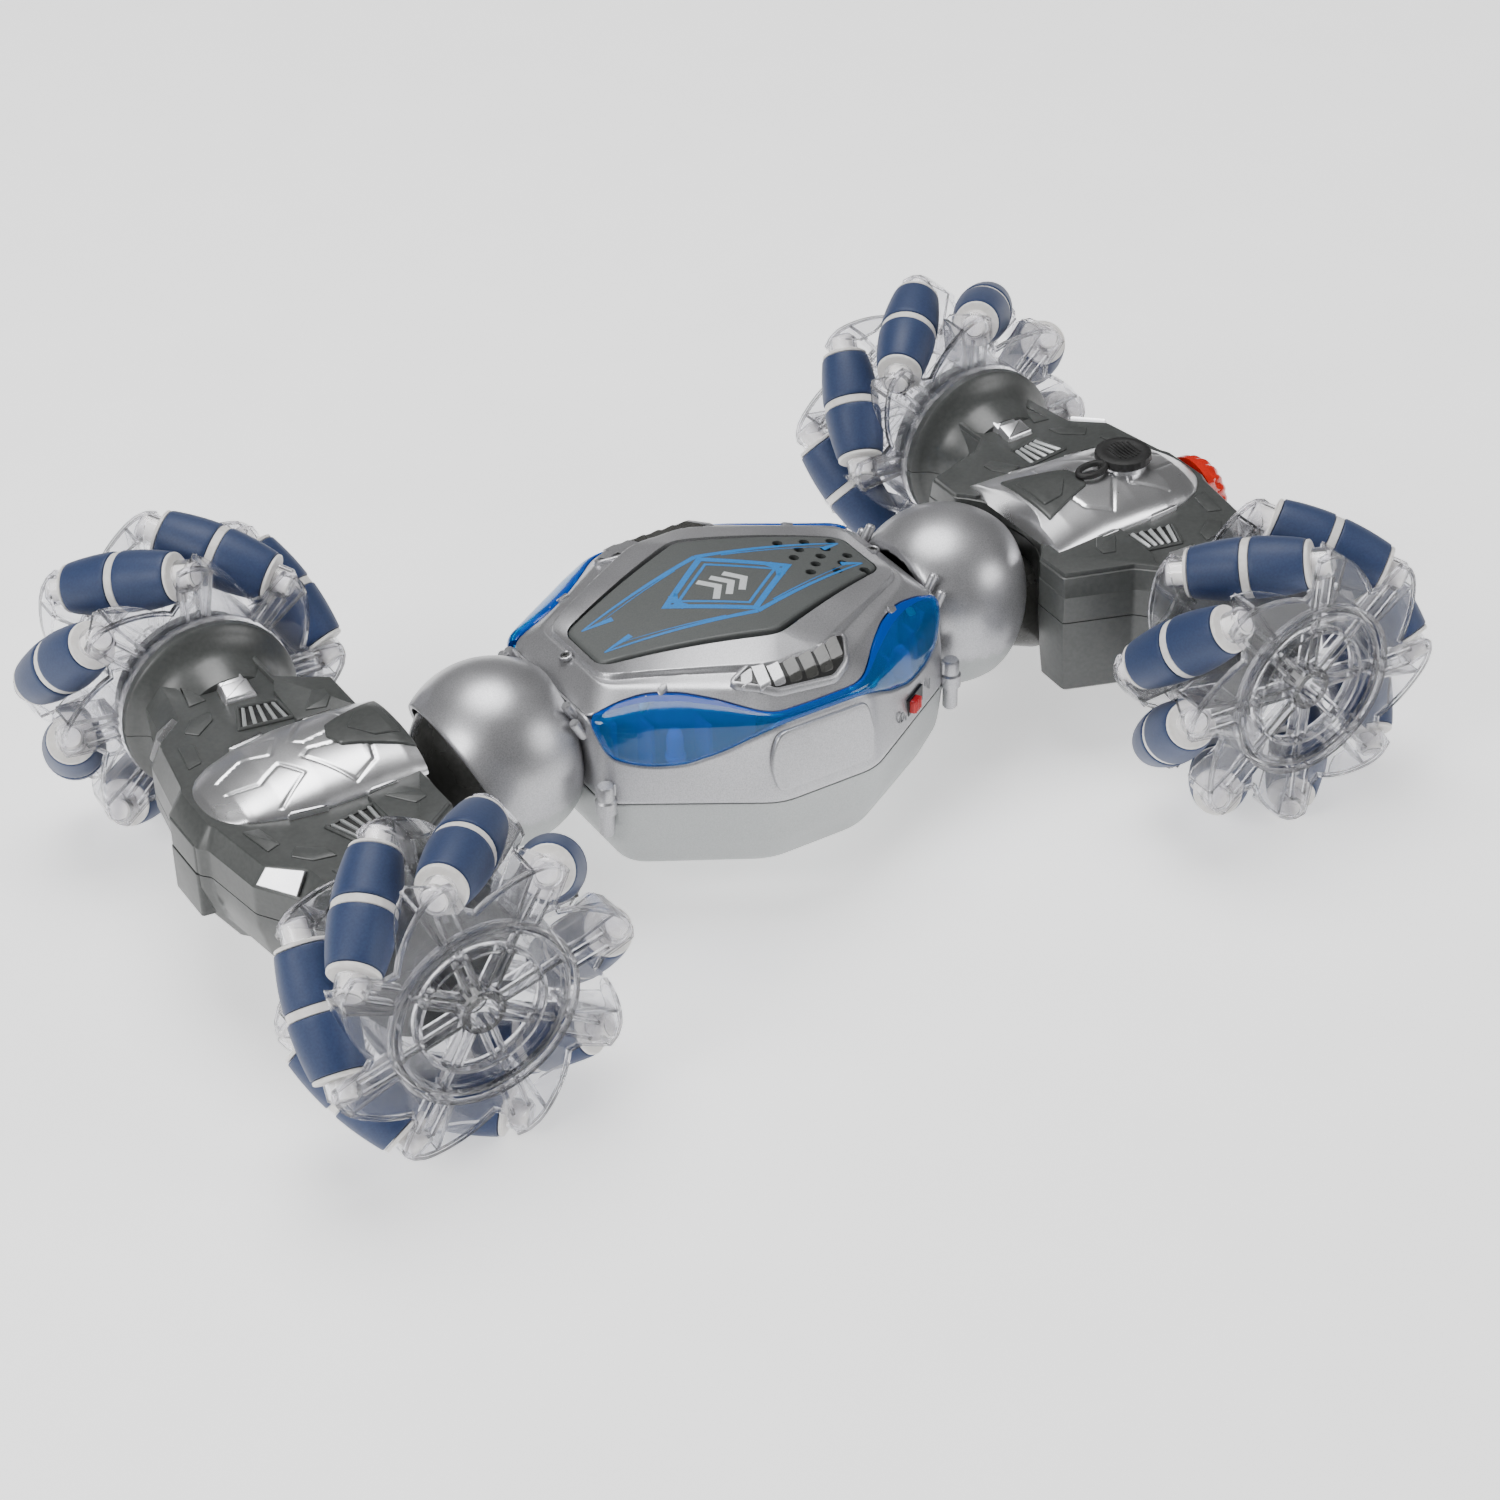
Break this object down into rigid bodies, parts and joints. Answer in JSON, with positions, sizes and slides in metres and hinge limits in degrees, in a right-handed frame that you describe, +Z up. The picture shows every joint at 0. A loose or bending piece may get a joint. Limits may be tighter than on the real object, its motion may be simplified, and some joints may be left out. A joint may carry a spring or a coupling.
{
  "type": "rc stunt car",
  "caption": "Twisting remote control stunt car: pod between two axle modules on ball necks, mecanum wheels with free rollers.",
  "frame": {"origin": "on the ground under the middle of the car", "axes": "+X to the rear axle with the filler cap, +Y to the right-hand side, +Z up"},
  "size_m": [0.3692, 0.2126, 0.0964],
  "materials": {
    "silver_abs": "silver lacquer with a fine metallic grain",
    "plated_abs": "bright vacuum plated",
    "grey_abs": "moulded satin dark grey",
    "navy_rubber": "matt moulded rubber",
    "clear_polycarbonate": "clear, polished mould",
    "blue_polycarbonate": "clear tinted blue",
    "black_rubber": "soft black rubber",
    "red_polycarbonate": "clear tinted red",
    "red_abs": "red moulded plastic",
    "circuit_board": "green solder mask",
    "black_abs": "black moulded plastic",
    "motor_unit": "gear case with motors"
  },
  "bodies": {
    "pod": {"pod_cover": "silver_abs", "pod_tray": "silver_abs", "deck_panel": "grey_abs", "light_lens_left": "blue_polycarbonate", "light_lens_right": "blue_polycarbonate", "neck_shell_front": "silver_abs", "neck_shell_rear": "silver_abs", "battery_pack": "black_abs", "battery_door": "silver_abs", "circuit_board": "circuit_board", "twist_motor_front": "motor_unit", "twist_motor_rear": "motor_unit", "speaker": "black_abs"},
    "front_axle": {"axle_tray_front": "grey_abs", "axle_cover_front": "grey_abs", "hood_front": "plated_abs", "drive_gearbox_front": "motor_unit"},
    "rear_axle": {"axle_tray_rear": "grey_abs", "axle_cover_rear": "grey_abs", "hood_rear": "plated_abs", "drive_gearbox_rear": "motor_unit", "mist_nozzle": "red_polycarbonate"},
    "wheel_front_left": {"wheel_cage_front_left": "clear_polycarbonate"},
    "wheel_front_right": {"wheel_cage_front_right": "clear_polycarbonate"},
    "wheel_rear_left": {"wheel_cage_rear_left": "clear_polycarbonate"},
    "wheel_rear_right": {"wheel_cage_rear_right": "clear_polycarbonate"},
    "power_switch": {"power_switch": "red_abs"},
    "filler_cap": {"filler_cap": "black_rubber"},
    "roller_front_left_1": {"roller_front_left_1": "navy_rubber"},
    "roller_front_left_2": {"roller_front_left_2": "navy_rubber"},
    "roller_front_left_3": {"roller_front_left_3": "navy_rubber"},
    "roller_front_left_4": {"roller_front_left_4": "navy_rubber"},
    "roller_front_left_5": {"roller_front_left_5": "navy_rubber"},
    "roller_front_left_6": {"roller_front_left_6": "navy_rubber"},
    "roller_front_left_7": {"roller_front_left_7": "navy_rubber"},
    "roller_front_left_8": {"roller_front_left_8": "navy_rubber"},
    "roller_front_right_1": {"roller_front_right_1": "navy_rubber"},
    "roller_front_right_2": {"roller_front_right_2": "navy_rubber"},
    "roller_front_right_3": {"roller_front_right_3": "navy_rubber"},
    "roller_front_right_4": {"roller_front_right_4": "navy_rubber"},
    "roller_front_right_5": {"roller_front_right_5": "navy_rubber"},
    "roller_front_right_6": {"roller_front_right_6": "navy_rubber"},
    "roller_front_right_7": {"roller_front_right_7": "navy_rubber"},
    "roller_front_right_8": {"roller_front_right_8": "navy_rubber"},
    "roller_rear_left_1": {"roller_rear_left_1": "navy_rubber"},
    "roller_rear_left_2": {"roller_rear_left_2": "navy_rubber"},
    "roller_rear_left_3": {"roller_rear_left_3": "navy_rubber"},
    "roller_rear_left_4": {"roller_rear_left_4": "navy_rubber"},
    "roller_rear_left_5": {"roller_rear_left_5": "navy_rubber"},
    "roller_rear_left_6": {"roller_rear_left_6": "navy_rubber"},
    "roller_rear_left_7": {"roller_rear_left_7": "navy_rubber"},
    "roller_rear_left_8": {"roller_rear_left_8": "navy_rubber"},
    "roller_rear_right_1": {"roller_rear_right_1": "navy_rubber"},
    "roller_rear_right_2": {"roller_rear_right_2": "navy_rubber"},
    "roller_rear_right_3": {"roller_rear_right_3": "navy_rubber"},
    "roller_rear_right_4": {"roller_rear_right_4": "navy_rubber"},
    "roller_rear_right_5": {"roller_rear_right_5": "navy_rubber"},
    "roller_rear_right_6": {"roller_rear_right_6": "navy_rubber"},
    "roller_rear_right_7": {"roller_rear_right_7": "navy_rubber"},
    "roller_rear_right_8": {"roller_rear_right_8": "navy_rubber"}
  },
  "joints": [
    {"name": "front_twist", "type": "hinge", "parent": "pod", "child": "front_axle", "pos_m": [-0.078, 0, 0.047], "axis": [-0.9239, 0, -0.3827], "range_deg": [-180, 180]},
    {"name": "rear_twist", "type": "hinge", "parent": "pod", "child": "rear_axle", "pos_m": [0.078, 0, 0.047], "axis": [0.9239, 0, -0.3827], "range_deg": [-180, 180]},
    {"name": "front_left_wheel_spin", "type": "hinge", "parent": "front_axle", "child": "wheel_front_left", "pos_m": [-0.1367, -0.0866, 0.0483], "axis": [0, 1, 0], "continuous": true},
    {"name": "front_right_wheel_spin", "type": "hinge", "parent": "front_axle", "child": "wheel_front_right", "pos_m": [-0.1367, 0.0866, 0.0483], "axis": [0, 1, 0], "continuous": true},
    {"name": "rear_left_wheel_spin", "type": "hinge", "parent": "rear_axle", "child": "wheel_rear_left", "pos_m": [0.1367, -0.0866, 0.0483], "axis": [0, 1, 0], "continuous": true},
    {"name": "rear_right_wheel_spin", "type": "hinge", "parent": "rear_axle", "child": "wheel_rear_right", "pos_m": [0.1367, 0.0866, 0.0483], "axis": [0, 1, 0], "continuous": true},
    {"name": "switch_slide", "type": "slide", "parent": "pod", "child": "power_switch", "axis": [0.8469, 0.5318, 0], "range_m": [0, 0.0035]},
    {"name": "cap_pull", "type": "slide", "parent": "rear_axle", "child": "filler_cap", "axis": [0, 0, 1], "range_m": [0, 0.012]},
    {"name": "roller_front_left_1_spin", "type": "hinge", "parent": "wheel_front_left", "child": "roller_front_left_1", "pos_m": [-0.13122, -0.0866, 0.08636], "axis": [0.6999, 0.7071, -0.1009], "continuous": true},
    {"name": "roller_front_left_2_spin", "type": "hinge", "parent": "wheel_front_left", "child": "roller_front_left_2", "pos_m": [-0.10591, -0.0866, 0.07133], "axis": [0.4236, 0.7071, -0.5662], "continuous": true},
    {"name": "roller_front_left_3_spin", "type": "hinge", "parent": "wheel_front_left", "child": "roller_front_left_3", "pos_m": [-0.09864, -0.0866, 0.04282], "axis": [-0.1009, 0.7071, -0.6999], "continuous": true},
    {"name": "roller_front_left_4_spin", "type": "hinge", "parent": "wheel_front_left", "child": "roller_front_left_4", "pos_m": [-0.11367, -0.0866, 0.01751], "axis": [-0.5662, 0.7071, -0.4236], "continuous": true},
    {"name": "roller_front_left_5_spin", "type": "hinge", "parent": "wheel_front_left", "child": "roller_front_left_5", "pos_m": [-0.14218, -0.0866, 0.01024], "axis": [-0.6999, 0.7071, 0.1009], "continuous": true},
    {"name": "roller_front_left_6_spin", "type": "hinge", "parent": "wheel_front_left", "child": "roller_front_left_6", "pos_m": [-0.16749, -0.0866, 0.02527], "axis": [-0.4236, 0.7071, 0.5662], "continuous": true},
    {"name": "roller_front_left_7_spin", "type": "hinge", "parent": "wheel_front_left", "child": "roller_front_left_7", "pos_m": [-0.17476, -0.0866, 0.05378], "axis": [0.1009, 0.7071, 0.6999], "continuous": true},
    {"name": "roller_front_left_8_spin", "type": "hinge", "parent": "wheel_front_left", "child": "roller_front_left_8", "pos_m": [-0.15973, -0.0866, 0.07909], "axis": [0.5662, 0.7071, 0.4236], "continuous": true},
    {"name": "roller_front_right_1_spin", "type": "hinge", "parent": "wheel_front_right", "child": "roller_front_right_1", "pos_m": [-0.15054, 0.0866, 0.08417], "axis": [0.6597, -0.7071, 0.2546], "continuous": true},
    {"name": "roller_front_right_2_spin", "type": "hinge", "parent": "wheel_front_right", "child": "roller_front_right_2", "pos_m": [-0.12112, 0.0866, 0.08345], "axis": [0.6465, -0.7071, -0.2865], "continuous": true},
    {"name": "roller_front_right_3_spin", "type": "hinge", "parent": "wheel_front_right", "child": "roller_front_right_3", "pos_m": [-0.10083, 0.0866, 0.06214], "axis": [0.2546, -0.7071, -0.6597], "continuous": true},
    {"name": "roller_front_right_4_spin", "type": "hinge", "parent": "wheel_front_right", "child": "roller_front_right_4", "pos_m": [-0.10155, 0.0866, 0.03272], "axis": [-0.2865, -0.7071, -0.6465], "continuous": true},
    {"name": "roller_front_right_5_spin", "type": "hinge", "parent": "wheel_front_right", "child": "roller_front_right_5", "pos_m": [-0.12286, 0.0866, 0.01243], "axis": [-0.6597, -0.7071, -0.2546], "continuous": true},
    {"name": "roller_front_right_6_spin", "type": "hinge", "parent": "wheel_front_right", "child": "roller_front_right_6", "pos_m": [-0.15228, 0.0866, 0.01315], "axis": [-0.6465, -0.7071, 0.2865], "continuous": true},
    {"name": "roller_front_right_7_spin", "type": "hinge", "parent": "wheel_front_right", "child": "roller_front_right_7", "pos_m": [-0.17257, 0.0866, 0.03446], "axis": [-0.2546, -0.7071, 0.6597], "continuous": true},
    {"name": "roller_front_right_8_spin", "type": "hinge", "parent": "wheel_front_right", "child": "roller_front_right_8", "pos_m": [-0.17185, 0.0866, 0.06388], "axis": [0.2865, -0.7071, 0.6465], "continuous": true},
    {"name": "roller_rear_left_1_spin", "type": "hinge", "parent": "wheel_rear_left", "child": "roller_rear_left_1", "pos_m": [0.15398, -0.0866, 0.08265], "axis": [-0.6317, 0.7071, 0.3177], "continuous": true},
    {"name": "roller_rear_left_2_spin", "type": "hinge", "parent": "wheel_rear_left", "child": "roller_rear_left_2", "pos_m": [0.1732, -0.0866, 0.06037], "axis": [-0.222, 0.7071, 0.6713], "continuous": true},
    {"name": "roller_rear_left_3_spin", "type": "hinge", "parent": "wheel_rear_left", "child": "roller_rear_left_3", "pos_m": [0.17105, -0.0866, 0.03102], "axis": [0.3177, 0.7071, 0.6317], "continuous": true},
    {"name": "roller_rear_left_4_spin", "type": "hinge", "parent": "wheel_rear_left", "child": "roller_rear_left_4", "pos_m": [0.14877, -0.0866, 0.01179], "axis": [0.6713, 0.7071, 0.222], "continuous": true},
    {"name": "roller_rear_left_5_spin", "type": "hinge", "parent": "wheel_rear_left", "child": "roller_rear_left_5", "pos_m": [0.11942, -0.0866, 0.01395], "axis": [0.6317, 0.7071, -0.3177], "continuous": true},
    {"name": "roller_rear_left_6_spin", "type": "hinge", "parent": "wheel_rear_left", "child": "roller_rear_left_6", "pos_m": [0.1002, -0.0866, 0.03623], "axis": [0.222, 0.7071, -0.6713], "continuous": true},
    {"name": "roller_rear_left_7_spin", "type": "hinge", "parent": "wheel_rear_left", "child": "roller_rear_left_7", "pos_m": [0.10235, -0.0866, 0.06558], "axis": [-0.3177, 0.7071, -0.6317], "continuous": true},
    {"name": "roller_rear_left_8_spin", "type": "hinge", "parent": "wheel_rear_left", "child": "roller_rear_left_8", "pos_m": [0.12463, -0.0866, 0.08481], "axis": [-0.6713, 0.7071, -0.222], "continuous": true},
    {"name": "roller_rear_right_1_spin", "type": "hinge", "parent": "wheel_rear_right", "child": "roller_rear_right_1", "pos_m": [0.12305, 0.0866, 0.08424], "axis": [-0.661, -0.7071, -0.2511], "continuous": true},
    {"name": "roller_rear_right_2_spin", "type": "hinge", "parent": "wheel_rear_right", "child": "roller_rear_right_2", "pos_m": [0.15246, 0.0866, 0.08337], "axis": [-0.645, -0.7071, 0.2899], "continuous": true},
    {"name": "roller_rear_right_3_spin", "type": "hinge", "parent": "wheel_rear_right", "child": "roller_rear_right_3", "pos_m": [0.17264, 0.0866, 0.06195], "axis": [-0.2511, -0.7071, 0.661], "continuous": true},
    {"name": "roller_rear_right_4_spin", "type": "hinge", "parent": "wheel_rear_right", "child": "roller_rear_right_4", "pos_m": [0.17177, 0.0866, 0.03254], "axis": [0.2899, -0.7071, 0.645], "continuous": true},
    {"name": "roller_rear_right_5_spin", "type": "hinge", "parent": "wheel_rear_right", "child": "roller_rear_right_5", "pos_m": [0.15035, 0.0866, 0.01236], "axis": [0.661, -0.7071, 0.2511], "continuous": true},
    {"name": "roller_rear_right_6_spin", "type": "hinge", "parent": "wheel_rear_right", "child": "roller_rear_right_6", "pos_m": [0.12094, 0.0866, 0.01323], "axis": [0.645, -0.7071, -0.2899], "continuous": true},
    {"name": "roller_rear_right_7_spin", "type": "hinge", "parent": "wheel_rear_right", "child": "roller_rear_right_7", "pos_m": [0.10076, 0.0866, 0.03465], "axis": [0.2511, -0.7071, -0.661], "continuous": true},
    {"name": "roller_rear_right_8_spin", "type": "hinge", "parent": "wheel_rear_right", "child": "roller_rear_right_8", "pos_m": [0.10163, 0.0866, 0.06406], "axis": [-0.2899, -0.7071, -0.645], "continuous": true}
  ]
}
